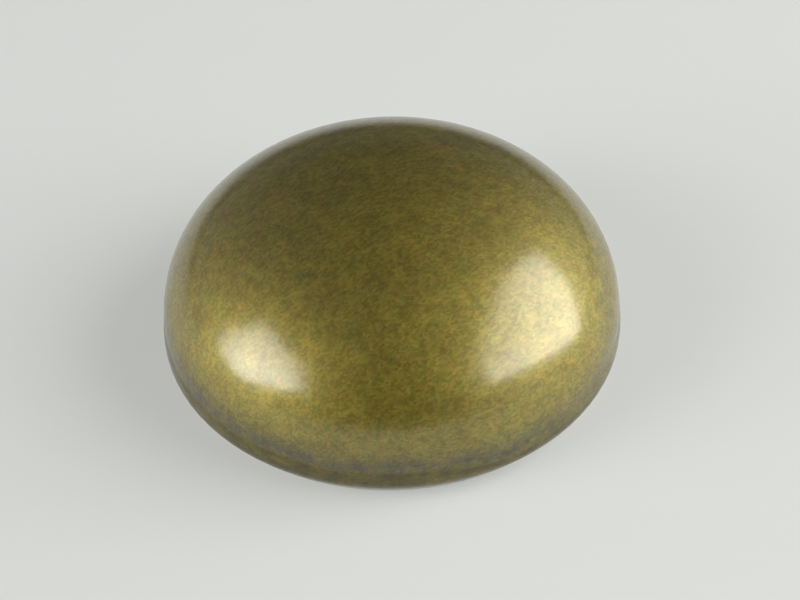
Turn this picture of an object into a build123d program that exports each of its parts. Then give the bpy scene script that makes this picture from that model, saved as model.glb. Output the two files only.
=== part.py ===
from build123d import *
import os
from math import radians, sqrt, tan

# Convex stud: the domed brass head of a screw-back stud, resting on its flat underside.
# The origin is the middle of the underside, and +Z points up through the crown.
# All lengths are in millimetres.

# Dome, as the reach of its curve outward from the crown and upward from the bead
head_diameter = 15.0
head_height = 6.2
crown_reach = 2.8
wall_reach = 3.75

# Rim bead, which bulges past the dome's wall and meets it in a crease
widest_height = 0.9
bead_top_height = 1.3
bead_bulge = 0.05

# Foot below the bead
foot_inset = 0.5
foot_slope_height = 0.6
rim_round = 0.5
foot_round = 0.12

# Blind M4 hole for the screw, with the metal left between its drilled point and the crown
thread_major_diameter = 4.0
thread_pitch = 0.7
thread_mouth_chamfer = 0.3
thread_mouth_angle = 90.0
drill_tip_angle = 118.0
crown_wall = 1.0

# The tapping drill is one pitch smaller than the thread and runs one pitch past it
head_radius = head_diameter / 2
foot_radius = head_radius - foot_inset
thread_major_radius = thread_major_diameter / 2
drill_radius = (thread_major_diameter - thread_pitch) / 2
drill_tip_height = drill_radius / tan(radians(drill_tip_angle / 2))
drill_depth = head_height - crown_wall - drill_tip_height
thread_depth = drill_depth - thread_pitch

# Arc of the bead, level with the widest ring
bead_rise = bead_top_height - widest_height
bead_radius = (bead_rise**2 + bead_bulge**2) / 2 / bead_bulge


def bead_point(height):
    """Point of the bead's arc at a height above the underside."""
    rise = height - widest_height
    return (head_radius - bead_radius + sqrt(bead_radius**2 - rise**2), height)


# Corners of the half section, each as its distance from the axis and its height
crown_top = (0, head_height)
bead_top = bead_point(bead_top_height)
widest_point = (head_radius, widest_height)
slope_top = bead_point(foot_slope_height)
foot_edge = (foot_radius, 0)

with BuildPart() as domed_head:
    # Half section, from the crown down the outside and back along the underside
    with BuildSketch(Plane.XZ) as half_section:
        with BuildLine():
            crown_pull = (crown_reach, head_height)
            wall_pull = (head_radius - bead_bulge, bead_top_height + wall_reach)
            Bezier(crown_top, crown_pull, wall_pull, bead_top)
            ThreePointArc(bead_top, widest_point, slope_top)
            Polyline(slope_top, foot_edge, (0, 0), crown_top)
        make_face()
        for corner, corner_round in ((slope_top, rim_round), (foot_edge, foot_round)):
            fillet(half_section.vertices().sort_by_distance(corner)[0], corner_round)
    revolve(axis=Axis.Z)

    # Tapped hole in the underside, with its drilled end below the thread
    with Locations(Plane.XY.rotated((180, 0, 0))):
        CounterSinkHole(
            radius=thread_major_radius,
            counter_sink_radius=thread_major_radius + thread_mouth_chamfer,
            depth=thread_depth,
            counter_sink_angle=thread_mouth_angle,
        )
        Hole(radius=drill_radius, depth=drill_depth)
    with Locations((0, 0, drill_depth)):
        Cone(
            bottom_radius=drill_radius,
            top_radius=0,
            height=drill_tip_height,
            align=(Align.CENTER, Align.CENTER, Align.MIN),
            mode=Mode.SUBTRACT,
        )

domed_head.part.label = "domed_head"

os.makedirs("parts", exist_ok=True)
export_step(domed_head.part, "parts/domed_head.step")
print("domed_head volume", round(domed_head.part.volume, 2), "mm3")
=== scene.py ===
import math

import bpy
from mathutils import Matrix, Vector


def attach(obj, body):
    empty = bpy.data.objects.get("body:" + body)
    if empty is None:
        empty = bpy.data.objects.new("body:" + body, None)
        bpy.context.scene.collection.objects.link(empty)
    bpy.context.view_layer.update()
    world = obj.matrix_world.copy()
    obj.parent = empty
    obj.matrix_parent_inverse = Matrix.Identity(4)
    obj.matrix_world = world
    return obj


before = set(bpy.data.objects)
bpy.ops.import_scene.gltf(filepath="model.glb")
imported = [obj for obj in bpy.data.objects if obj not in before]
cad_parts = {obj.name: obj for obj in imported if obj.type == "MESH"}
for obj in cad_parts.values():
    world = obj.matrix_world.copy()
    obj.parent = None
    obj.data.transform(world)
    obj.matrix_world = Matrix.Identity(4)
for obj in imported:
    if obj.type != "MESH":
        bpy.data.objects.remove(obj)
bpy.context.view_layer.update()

# Antique brass convex stud on a pale table, seen from above its near edge.
# All lengths are in metres, in the frame's own axes: the stud stands on z = 0, with the camera
# towards -Y. Colours and strengths are linear.

MM = 0.001
MICRON = 0.001 * MM
WHITE = (1, 1, 1, 1)
BLACK = (0, 0, 0, 1)

# Camera: at a distance from a point in the middle of the head, and turned so that this point
# falls at its place in the photo
CAMERA_HEIGHT_ANGLE = 42.95
CAMERA_ROLL = 1.45
CAMERA_DISTANCE = 90 * MM
CAMERA_TARGET_HEIGHT = 3 * MM
CAMERA_NEAR = 5 * MM
CAMERA_FAR = 100
FOCAL_LENGTH_PX = 2781.1
SENSOR_WIDTH = 36
PICTURE_WIDTH_PX = 800
PICTURE_HEIGHT_PX = 600
TARGET_X_PX = 391.51
TARGET_Y_PX = 267.52

# Two softboxes. The azimuth is 0 towards the camera and grows to the right. The outline has each
# corner's place to the right and up, as shares of the distance, and its brightness.
LAMP_DISTANCE = 1.5
LAMP_MIDDLE_BRIGHTNESS = 1.0
LEFT_LAMP = {
    "azimuth": -72,
    "height_angle": 23,
    "strength": 7.3,
    "outline": [
        (-0.44, 0.06, 0.8),
        (-0.24, 0.34, 0.5),
        (0.24, 0.4, 0.5),
        (0.38, -0.14, 0.55),
        (0.3, -0.3, 0.7),
        (0.02, -0.35, 1.1),
        (-0.36, -0.06, 0.95),
    ],
}
RIGHT_LAMP = {
    "azimuth": 88,
    "height_angle": 32,
    "strength": 5.3,
    "outline": [
        (-0.62, 0.16, 1.0),
        (-0.42, 0.36, 0.8),
        (-0.1, 0.46, 0.5),
        (0.52, 0.36, 0.25),
        (0.74, -0.04, 1.0),
        (-0.2, -0.65, 1.35),
    ],
}

# Room: lighter at the two sides, and more so at the right by the lean
ROOM_SIDE_STRENGTH = 0.65
ROOM_LEAN = 0.23
ROOM_BACK_STRENGTH = 0.08
ROOM_BACK_DIRECTION = (0, 0.5, 0.87)
ROOM_HORIZON_STRENGTH = 0.1
ROOM_HORIZON_HEIGHT = 0.35
ROOM_BELOW_STRENGTH = 0.8

# Table, just under the stud, with its glow for the camera and for mirrored views. Those views
# lose it in the dark behind the stud, as in the photo.
TABLE_HALF_WIDTH = 20.0
TABLE_DROP = 2 * MICRON
TABLE_DARK_FROM = 20 * MM
TABLE_DARK_TO = 50 * MM
TABLE_COLOUR = (0.385, 0.393, 0.38, 1)
TABLE_STREAK_COLOUR = (0.375, 0.383, 0.37, 1)
TABLE_STREAK_SIZE = 0.25 * MM
TABLE_STREAK_SCALE = (0.08, 1, 1)
TABLE_GLOW_COLOUR = (0.98, 1, 0.965, 1)
TABLE_GLOW = 0.305
# Painted light: the glow grows brighter towards the front right, over a reach either side
TABLE_PAINTED_LIGHT_GAIN = 0.08
TABLE_PAINTED_LIGHT_REACH = 40 * MM
TABLE_PAINTED_LIGHT_DIRECTION = (1, -0.5, 0)

# Patina, paler in a ring above the band. In this finish, heights are above the underside, an
# edge is the width over which a zone begins or ends, and a cover is how much of the colour below a
# zone hides.
PATINA_COLOUR = (0.256, 0.207, 0.034, 1)
PALE_RING_COLOUR = (0.366, 0.3, 0.052, 1)
PALE_RING_TOP = 3.0 * MM
PALE_RING_LOWER_EDGE = 0.8 * MM
PALE_RING_UPPER_EDGE = 1.2 * MM
PALE_RING_COVER = 0.35

# Grey-blue band above the bead's crease: a core and a taller haze, in blotches. It sits lower
# and then fades towards the right.
BAND_COLOUR = (0.085, 0.079, 0.055, 1)
BAND_BOTTOM = 1.27 * MM
BAND_CORE_TOP = 1.7 * MM
BAND_TOP = 2.05 * MM
BAND_LOWER_EDGE = 0.2 * MM
BAND_CORE_EDGE = 0.4 * MM
BAND_HAZE_EDGE = 0.8 * MM
BAND_CORE_COVER = 0.35
BAND_HAZE_COVER = 0.3
BAND_BLOTCH_SIZE = 0.25 * MM
BAND_BLOTCH_LEAST = 0.5
BAND_BLOTCH_GAIN = 0.8
BAND_DROP = 0.28 * MM
BAND_DROP_FROM = 0.5 * MM
BAND_DROP_TO = 3.5 * MM
BAND_FADE = 0.6
BAND_FADE_FROM = 4.0 * MM
BAND_FADE_TO = 7.0 * MM

# Streaky brown bead below the band, darkened with painted shade of the shadowed table it mirrors
SHADED_BEAD_DARK = (0.06, 0.044, 0.001, 1)
SHADED_BEAD_LIGHT = (0.15, 0.117, 0.003, 1)
BEAD_EDGE = 0.2 * MM
SHADED_BEAD_COVER = 0.85
BEAD_STREAK_SIZE = 0.14 * MM
BEAD_STREAK_SCALE = (0.35, 0.35, 1)

# Unevenness of the zones' edges, and its share at the bead and the band's core
WOBBLE_SIZE = 1.2 * MM
WOBBLE_HEIGHT = 0.5 * MM
CRISP_WOBBLE = 0.3

# Mottles, each as its size, contrast and seed, then tints and brushed grains
MOTTLES = [(0.6 * MM, 0.2, 2), (0.2 * MM, 0.3, 1)]
ROSY = (1.07, 0.983, 0.988, 1)
GREENISH = (0.93, 1.017, 1.012, 1)
TINT_SIZE = 0.25 * MM
TINT_STRENGTH = 0.7
GRAIN_SIZE = 0.07 * MM
GRAIN_CONTRAST = 0.44
BRUSH_ANGLE = 35
BRUSH_STRETCH = 1.6

# Noise, with how far it goes from its middle before a blotch is fully dark or light
NOISE_ROUGHNESS = 0.6
SOFT_SPREAD = 0.25
CRISP_SPREAD = 0.2

# Two small specks, each as its place and its radius, with edges as a share of the radius
PALE_SPECK = ((0.04 * MM, -7.44 * MM, 1.36 * MM), 0.07 * MM)
PALE_SPECK_COLOUR = (0.14, 0.16, 0.16, 1)
DARK_SPECK = ((-6.61 * MM, -0.87 * MM, 3.66 * MM), 0.05 * MM)
DARK_SPECK_COLOUR = (0.08, 0.06, 0.03, 1)
SPECK_EDGE = 0.4

# Cleaner brass in the hole, up to a height between its end and the crown
HOLE_COLOUR = (0.55, 0.42, 0.15, 1)
HOLE_EDGE = 0.1 * MM
HOLE_END = 5.35 * MM
HOLE_MOUTH_RADIUS = 2.33 * MM

# Relief of the brass, and its gloss under the lacquer
RIPPLE_SIZE = 0.5 * MM
RIPPLE_MICRONS = 4.0
PIT_SIZE = 0.09 * MM
PIT_MICRONS = 2.4
BRASS_ROUGHNESS = 0.58
LACQUER_ROUGHNESS = 0.2
LACQUER_IOR = 1.65

# Ridge of the M4 thread in the hole
THREAD_PITCH = 0.7 * MM
THREAD_ROOT_RADIUS = 2.03 * MM
THREAD_ROOT_WIDTH = 0.64 * MM
THREAD_CREST_RADIUS = 1.621 * MM
THREAD_CREST_WIDTH = 0.175 * MM
THREAD_SECTION = [
    (THREAD_ROOT_RADIUS, -THREAD_ROOT_WIDTH / 2),
    (THREAD_CREST_RADIUS, -THREAD_CREST_WIDTH / 2),
    (THREAD_CREST_RADIUS, THREAD_CREST_WIDTH / 2),
    (THREAD_ROOT_RADIUS, THREAD_ROOT_WIDTH / 2),
]
THREAD_FIRST_TURN = 0.3
THREAD_LOWEST = 0.01 * MM
THREAD_TOP = 3.35 * MM
THREAD_STEPS_PER_TURN = 64
THREAD_RUNOUT_TURNS = 0.5


def link(obj):
    bpy.context.scene.collection.objects.link(obj)
    return obj


def aim(obj, place, toward, roll):
    """Put an object at a place, looking along its own -Z, rolled clockwise about that line."""
    back = (place - toward).normalized()
    right = Vector((0, 0, 1)).cross(back).normalized()
    up = back.cross(right)
    angle = math.radians(roll)
    rolled_right = right * math.cos(angle) - up * math.sin(angle)
    rolled_up = up * math.cos(angle) + right * math.sin(angle)
    matrix = Matrix((rolled_right, rolled_up, back)).transposed().to_4x4()
    matrix.translation = place
    obj.matrix_world = matrix


def make_camera():
    tilt = math.radians(CAMERA_HEIGHT_ANGLE)
    forward = Vector((0, math.cos(tilt), -math.sin(tilt)))
    up = Vector((0, math.sin(tilt), math.cos(tilt)))
    target = Vector((0, 0, CAMERA_TARGET_HEIGHT))
    place = target - forward * CAMERA_DISTANCE
    pixel = CAMERA_DISTANCE / FOCAL_LENGTH_PX
    across = Vector((PICTURE_WIDTH_PX / 2 - TARGET_X_PX, 0, 0)) * pixel
    down = up * (TARGET_Y_PX - PICTURE_HEIGHT_PX / 2) * pixel
    data = bpy.data.cameras.new("camera")
    data.sensor_width = SENSOR_WIDTH
    data.lens = FOCAL_LENGTH_PX * SENSOR_WIDTH / PICTURE_WIDTH_PX
    data.clip_start = CAMERA_NEAR
    data.clip_end = CAMERA_FAR
    obj = link(bpy.data.objects.new("camera", data))
    aim(obj, place, target + across + down, CAMERA_ROLL)
    bpy.context.scene.camera = obj


class Nodes:
    """Builds the node tree of a material or a world."""

    def __init__(self, tree):
        self.tree = tree
        self.tree.nodes.clear()

    def add(self, kind, inputs=None, **settings):
        node = self.tree.nodes.new(kind)
        for name, value in settings.items():
            setattr(node, name, value)
        for socket, value in (inputs or {}).items():
            self.put(node.inputs[socket], value)
        return node

    def put(self, socket, value):
        if isinstance(value, bpy.types.NodeSocket):
            self.tree.links.new(value, socket)
        else:
            socket.default_value = value

    def math(self, operation, first, second):
        return self.add("ShaderNodeMath", {0: first, 1: second}, operation=operation).outputs[0]

    def plus(self, first, second):
        return self.math("ADD", first, second)

    def times(self, first, second):
        return self.math("MULTIPLY", first, second)

    def vector_math(self, operation, first, second, output="Vector"):
        node = self.add("ShaderNodeVectorMath", {0: first, 1: second}, operation=operation)
        return node.outputs[output]

    def axes(self, vector):
        return self.add("ShaderNodeSeparateXYZ", {0: vector}).outputs

    def scaled(self, vector, scale):
        return self.add("ShaderNodeMapping", {"Vector": vector, "Scale": scale}).outputs[0]

    def rise(self, value, low, high):
        """Smooth step, 0 at low and 1 at high."""
        inputs = {"Value": value, "From Min": low, "From Max": high}
        return self.add("ShaderNodeMapRange", inputs, interpolation_type="SMOOTHSTEP").outputs[0]

    def above(self, value, level, edge):
        """1 above a level, with a soft edge of the given width centred on it."""
        return self.rise(value, level - edge / 2, level + edge / 2)

    def below(self, value, level, edge):
        """1 below a level, with a soft edge of the given width centred on it."""
        return self.rise(value, level + edge / 2, level - edge / 2)

    def between(self, value, low, high, low_edge, high_edge):
        return self.times(self.above(value, low, low_edge), self.below(value, high, high_edge))

    def mix(self, factor, first, second, blend="MIX"):
        node = self.add("ShaderNodeMix", data_type="RGBA", blend_type=blend)
        for name, value in (("Factor_Float", factor), ("A_Color", first), ("B_Color", second)):
            socket = next(one for one in node.inputs if one.identifier == name)
            self.put(socket, value)
        return next(one for one in node.outputs if one.identifier == "Result_Color")

    def noise(self, vector, size, seed=0.0, detail=2.0):
        """Noise from 0 to 1 with blotches about as wide as size."""
        inputs = {
            "Vector": vector,
            "W": seed,
            "Scale": 0.5 / size,
            "Detail": detail,
            "Roughness": NOISE_ROUGHNESS,
        }
        return self.add("ShaderNodeTexNoise", inputs, noise_dimensions="4D").outputs[0]

    def blotches(self, vector, size, spread, seed):
        """Noise stretched so that it reaches 0 and 1 at a spread either side of its middle."""
        return self.rise(self.noise(vector, size, seed), 0.5 - spread, 0.5 + spread)

    def shade(self, base, tone, contrast):
        """A colour made darker where tone is 0 and lighter where it is 1."""
        gain = self.plus(self.times(tone, contrast), 1 - contrast / 2)
        return self.mix(1.0, base, gain, "MULTIPLY")

    def tint(self, base, tone, strength):
        """A colour made rosy where tone is 0 and greenish where it is 1."""
        return self.mix(strength, base, self.mix(tone, ROSY, GREENISH), "MULTIPLY")

    def speck(self, base, place, speck, colour):
        """A colour with one small round speck on it."""
        middle, radius = speck
        distance = self.vector_math("DISTANCE", place, middle, "Value")
        cover = self.rise(distance, radius * (1 + SPECK_EDGE), radius * (1 - SPECK_EDGE))
        return self.mix(cover, base, colour)


def new_material(name):
    material = bpy.data.materials.new(name)
    material.use_nodes = True
    return material, Nodes(material.node_tree)


def patina(nodes, place):
    """Colour of the dome, the bead with its painted shade, and the grey-blue band between them."""
    axes = nodes.axes(place)
    uneven = nodes.noise(place, WOBBLE_SIZE, seed=4, detail=3)
    wobble = nodes.times(nodes.math("SUBTRACT", uneven, 0.5), WOBBLE_HEIGHT)
    drop = nodes.times(nodes.rise(axes["X"], BAND_DROP_FROM, BAND_DROP_TO), BAND_DROP)
    level = nodes.plus(axes["Z"], drop)
    soft_height = nodes.plus(level, wobble)
    crisp_height = nodes.plus(level, nodes.times(wobble, CRISP_WOBBLE))

    # A paler ring between the band's top and a height on the dome
    pale_ring = nodes.between(soft_height, BAND_TOP, PALE_RING_TOP, PALE_RING_LOWER_EDGE, PALE_RING_UPPER_EDGE)
    base = nodes.mix(nodes.times(pale_ring, PALE_RING_COVER), PATINA_COLOUR, PALE_RING_COLOUR)

    streaks = nodes.scaled(place, BEAD_STREAK_SCALE)
    streak = nodes.blotches(streaks, BEAD_STREAK_SIZE, CRISP_SPREAD, seed=5)
    # Painted shade: the bead's streaky brown is darkened for the shadowed table it mirrors
    bead = nodes.times(nodes.below(crisp_height, BAND_BOTTOM, BEAD_EDGE), SHADED_BEAD_COVER)
    base = nodes.mix(bead, base, nodes.mix(streak, SHADED_BEAD_DARK, SHADED_BEAD_LIGHT))

    core = nodes.between(crisp_height, BAND_BOTTOM, BAND_CORE_TOP, BAND_LOWER_EDGE, BAND_CORE_EDGE)
    haze = nodes.between(soft_height, BAND_BOTTOM, BAND_TOP, BAND_LOWER_EDGE, BAND_HAZE_EDGE)
    cover = nodes.plus(nodes.times(core, BAND_CORE_COVER), nodes.times(haze, BAND_HAZE_COVER))
    blotch = nodes.blotches(place, BAND_BLOTCH_SIZE, CRISP_SPREAD, seed=6)
    cover = nodes.times(cover, nodes.plus(nodes.times(blotch, BAND_BLOTCH_GAIN), BAND_BLOTCH_LEAST))
    faded = nodes.times(nodes.rise(axes["X"], BAND_FADE_FROM, BAND_FADE_TO), BAND_FADE)
    cover = nodes.times(cover, nodes.math("SUBTRACT", 1.0, faded))
    return nodes.mix(cover, base, BAND_COLOUR)


def grained(nodes, base, place, brushed):
    """A colour with mottles, tints and brushed grains."""
    for size, contrast, seed in MOTTLES:
        base = nodes.shade(base, nodes.blotches(place, size, SOFT_SPREAD, seed), contrast)
    base = nodes.tint(base, nodes.blotches(place, TINT_SIZE, SOFT_SPREAD, seed=10), TINT_STRENGTH)
    cells = nodes.add("ShaderNodeTexVoronoi", {"Vector": brushed, "Scale": 1 / GRAIN_SIZE})
    grains = nodes.add("ShaderNodeSeparateColor", {0: cells.outputs["Color"]}).outputs
    base = nodes.shade(base, grains["Red"], GRAIN_CONTRAST)
    return nodes.tint(base, grains["Green"], 1.0)


def inside_hole(nodes, place):
    """1 on the wall and the drilled end of the hole, and 0 on the rest of the head."""
    flat = nodes.vector_math("MULTIPLY", place, (1, 1, 0))
    radius = nodes.vector_math("DISTANCE", flat, (0, 0, 0), "Value")
    within = nodes.below(radius, HOLE_MOUTH_RADIUS, HOLE_EDGE)
    return nodes.times(within, nodes.below(nodes.axes(place)["Z"], HOLE_END, HOLE_EDGE))


def brass():
    """Satin patinated brass under a clear lacquer."""
    material, nodes = new_material("antique_brass")
    place = nodes.add("ShaderNodeTexCoord").outputs["Object"]
    turn = (0, 0, math.radians(BRUSH_ANGLE))
    stretch = (BRUSH_STRETCH, 1, 1)
    inputs = {"Vector": place, "Rotation": turn, "Scale": stretch}
    brushed = nodes.add("ShaderNodeMapping", inputs, vector_type="TEXTURE").outputs[0]

    base = grained(nodes, patina(nodes, place), place, brushed)
    base = nodes.speck(base, place, PALE_SPECK, PALE_SPECK_COLOUR)
    base = nodes.speck(base, place, DARK_SPECK, DARK_SPECK_COLOUR)
    base = nodes.mix(inside_hole(nodes, place), base, HOLE_COLOUR)

    ripple = nodes.times(nodes.noise(place, RIPPLE_SIZE, seed=7, detail=1), RIPPLE_MICRONS)
    pits = nodes.times(nodes.noise(brushed, PIT_SIZE, seed=8), PIT_MICRONS)
    relief = {"Strength": 1.0, "Distance": MICRON, "Height": nodes.plus(ripple, pits)}
    bump = nodes.add("ShaderNodeBump", relief).outputs[0]
    shader = nodes.add(
        "ShaderNodeBsdfPrincipled",
        {
            "Base Color": base,
            "Metallic": 1.0,
            "Roughness": BRASS_ROUGHNESS,
            "Normal": bump,
            "Coat Weight": 1.0,
            "Coat Roughness": LACQUER_ROUGHNESS,
            "Coat IOR": LACQUER_IOR,
            "Coat Normal": bump,
        },
    )
    nodes.add("ShaderNodeOutputMaterial", {"Surface": shader.outputs["BSDF"]})
    return material


def table_material():
    """Matt pale table that also glows for the camera and in mirrors, and is clear from below."""
    material, nodes = new_material("table")
    place = nodes.add("ShaderNodeTexCoord").outputs["Object"]
    rays = nodes.add("ShaderNodeLightPath").outputs
    behind = nodes.rise(nodes.axes(place)["Y"], TABLE_DARK_FROM, TABLE_DARK_TO)
    dark = nodes.times(rays["Is Glossy Ray"], behind)
    streak = nodes.noise(nodes.scaled(place, TABLE_STREAK_SCALE), TABLE_STREAK_SIZE)
    colour = nodes.mix(dark, nodes.mix(streak, TABLE_COLOUR, TABLE_STREAK_COLOUR), BLACK)
    matt = nodes.add("ShaderNodeBsdfDiffuse", {"Color": colour}).outputs[0]

    seen = nodes.math("MAXIMUM", rays["Is Camera Ray"], rays["Is Glossy Ray"])
    seen = nodes.math("MAXIMUM", seen, rays["Is Transmission Ray"])
    # Painted light: the table's glow is brighter towards the front right of the stud
    across = nodes.vector_math("DOT_PRODUCT", place, TABLE_PAINTED_LIGHT_DIRECTION, "Value")
    painted_light = nodes.rise(across, -TABLE_PAINTED_LIGHT_REACH, TABLE_PAINTED_LIGHT_REACH)
    level = nodes.plus(nodes.times(painted_light, TABLE_PAINTED_LIGHT_GAIN), TABLE_GLOW)
    strength = nodes.times(nodes.math("SUBTRACT", seen, dark), level)
    glow = nodes.add("ShaderNodeEmission", {"Color": TABLE_GLOW_COLOUR, "Strength": strength})

    top = nodes.add("ShaderNodeAddShader", {0: matt, 1: glow.outputs[0]}).outputs[0]
    clear = nodes.add("ShaderNodeBsdfTransparent").outputs[0]
    from_below = nodes.add("ShaderNodeNewGeometry").outputs["Backfacing"]
    surface = nodes.add("ShaderNodeMixShader", {0: from_below, 1: top, 2: clear}).outputs[0]
    nodes.add("ShaderNodeOutputMaterial", {"Surface": surface})
    return material


def make_table():
    half, low = TABLE_HALF_WIDTH, -TABLE_DROP
    corners = [(-half, -half, low), (half, -half, low), (half, half, low), (-half, half, low)]
    mesh = bpy.data.meshes.new("table")
    mesh.from_pydata(corners, [], [(0, 1, 2, 3)])
    mesh.materials.append(table_material())
    link(bpy.data.objects.new("table", mesh))


def direction(azimuth, height_angle):
    turn, tilt = math.radians(azimuth), math.radians(height_angle)
    level = math.cos(tilt)
    return Vector((math.sin(turn) * level, -math.cos(turn) * level, math.sin(tilt)))


def make_softbox(name, azimuth, height_angle, strength, outline):
    """Glowing panel that faces the stud, with its right and up as the stud sees them."""
    middle = direction(azimuth, height_angle)
    right = middle.cross(Vector((0, 0, 1))).normalized()
    up = right.cross(middle)
    points = [middle] + [middle + right * x + up * y for x, y, _ in outline]
    levels = [LAMP_MIDDLE_BRIGHTNESS] + [level for _, _, level in outline]
    count = len(outline)
    fan = [(0, corner + 1, (corner + 1) % count + 1) for corner in range(count)]
    mesh = bpy.data.meshes.new(name)
    mesh.from_pydata([point * LAMP_DISTANCE for point in points], [], fan)
    mesh.attributes.new("brightness", "FLOAT", "POINT").data.foreach_set("value", levels)

    material, nodes = new_material(name)
    brightness = nodes.add("ShaderNodeAttribute", attribute_name="brightness").outputs["Fac"]
    inputs = {"Color": WHITE, "Strength": nodes.times(brightness, strength)}
    glow = nodes.add("ShaderNodeEmission", inputs).outputs[0]
    nodes.add("ShaderNodeOutputMaterial", {"Surface": glow})
    mesh.materials.append(material)
    obj = link(bpy.data.objects.new(name, mesh))
    obj.visible_camera = False


def make_room():
    """Dark room with faint light at its sides, its horizon and its back, and below the table."""
    world = bpy.data.worlds.new("room")
    world.use_nodes = True
    nodes = Nodes(world.node_tree)
    view = nodes.add("ShaderNodeTexCoord").outputs["Generated"]
    axes = nodes.axes(view)
    sideways = axes["X"]
    lean = nodes.plus(nodes.times(sideways, ROOM_LEAN), ROOM_SIDE_STRENGTH)
    strength = nodes.times(nodes.times(sideways, sideways), lean)
    horizon = nodes.rise(axes["Z"], ROOM_HORIZON_HEIGHT, 0.0)
    back = nodes.rise(nodes.vector_math("DOT_PRODUCT", view, ROOM_BACK_DIRECTION, "Value"), 0.0, 1.0)
    below = nodes.math("LESS_THAN", axes["Z"], 0.0)
    for place, gain in (
        (horizon, ROOM_HORIZON_STRENGTH),
        (back, ROOM_BACK_STRENGTH),
        (below, ROOM_BELOW_STRENGTH),
    ):
        strength = nodes.plus(strength, nodes.times(place, gain))
    glow = nodes.add("ShaderNodeBackground", {"Color": WHITE, "Strength": strength}).outputs[0]
    nodes.add("ShaderNodeOutputWorld", {"Surface": glow})
    bpy.context.scene.world = world


def thread_ring(turn, crest):
    """Corners of the ridge's section at a turn, with its crest at a share of its full height.

    The mouth's chamfer cuts the ridge, and its root is sunk into the wall.
    """
    angle = 2 * math.pi * turn
    ring = []
    for radius, rise in THREAD_SECTION:
        z = max(THREAD_LOWEST, turn * THREAD_PITCH + rise)
        reach = THREAD_ROOT_RADIUS + (radius - THREAD_ROOT_RADIUS) * crest
        kept = max(reach, HOLE_MOUTH_RADIUS - z)
        ring.append((kept * math.cos(angle), kept * math.sin(angle), z))
    return ring


def make_thread(material):
    """Right-hand helical ridge on the wall of the hole, which runs out at its inner end."""
    steps = round((THREAD_TOP / THREAD_PITCH - THREAD_FIRST_TURN) * THREAD_STEPS_PER_TURN)
    points = []
    for step in range(steps + 1):
        turn = THREAD_FIRST_TURN + step / THREAD_STEPS_PER_TURN
        crest = min(1.0, (steps - step) / THREAD_STEPS_PER_TURN / THREAD_RUNOUT_TURNS)
        points += thread_ring(turn, crest)
    sides = len(THREAD_SECTION)
    faces = [tuple(range(sides)), tuple(range(len(points) - 1, len(points) - 1 - sides, -1))]
    for step in range(steps):
        for side in range(sides):
            near = step * sides + side
            beside = step * sides + (side + 1) % sides
            faces.append((near, near + sides, beside + sides, beside))
    mesh = bpy.data.meshes.new("thread_crest")
    mesh.from_pydata(points, [], faces)
    mesh.materials.append(material)
    ridge = link(bpy.data.objects.new("thread_crest", mesh))
    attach(ridge, "root")


antique_brass = brass()
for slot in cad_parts["domed_head"].material_slots:
    slot.material = antique_brass
make_thread(antique_brass)

make_camera()
make_table()
make_softbox("left_lamp", **LEFT_LAMP)
make_softbox("right_lamp", **RIGHT_LAMP)
make_room()
bpy.context.scene.view_settings.view_transform = "Standard"
